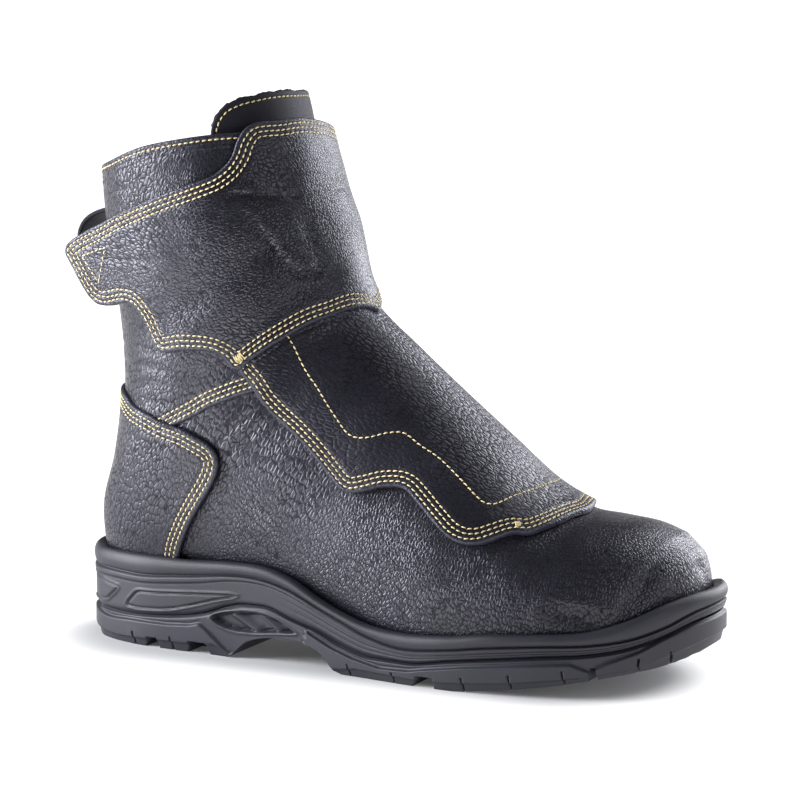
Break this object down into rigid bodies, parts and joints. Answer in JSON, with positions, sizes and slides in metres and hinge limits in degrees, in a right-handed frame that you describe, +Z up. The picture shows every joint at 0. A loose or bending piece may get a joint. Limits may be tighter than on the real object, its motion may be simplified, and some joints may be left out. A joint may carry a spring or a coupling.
{
  "type": "foundry safety boot",
  "caption": "Ankle-high black leather work boot with closing flaps over shaft and instep, heel counter, pull loop and lugged rubber sole.",
  "frame": {"origin": "flat spot under the middle of the heel, on the floor", "axes": "+X to the toe, +Z up, the outer side of the right foot at -Y"},
  "size_m": [0.3144, 0.1122, 0.2554],
  "materials": {
    "outsole_rubber": "matt moulded",
    "midsole_rubber": "satin moulded",
    "insole_fabric": "needled felt",
    "upper_leather": "pebbled, satin",
    "flap_leather": "pebbled, satin",
    "tongue_leather": "smooth, soft",
    "thread": "heavy waxed thread"
  },
  "bodies": {
    "root": {"outsole": "outsole_rubber", "midsole": "midsole_rubber", "insole": "insole_fabric", "upper": "upper_leather", "heel_counter": "upper_leather", "tongue": "tongue_leather", "instep_flap": "flap_leather", "shaft_flap": "flap_leather", "pull_loop": "tongue_leather"}
  },
  "joints": []
}
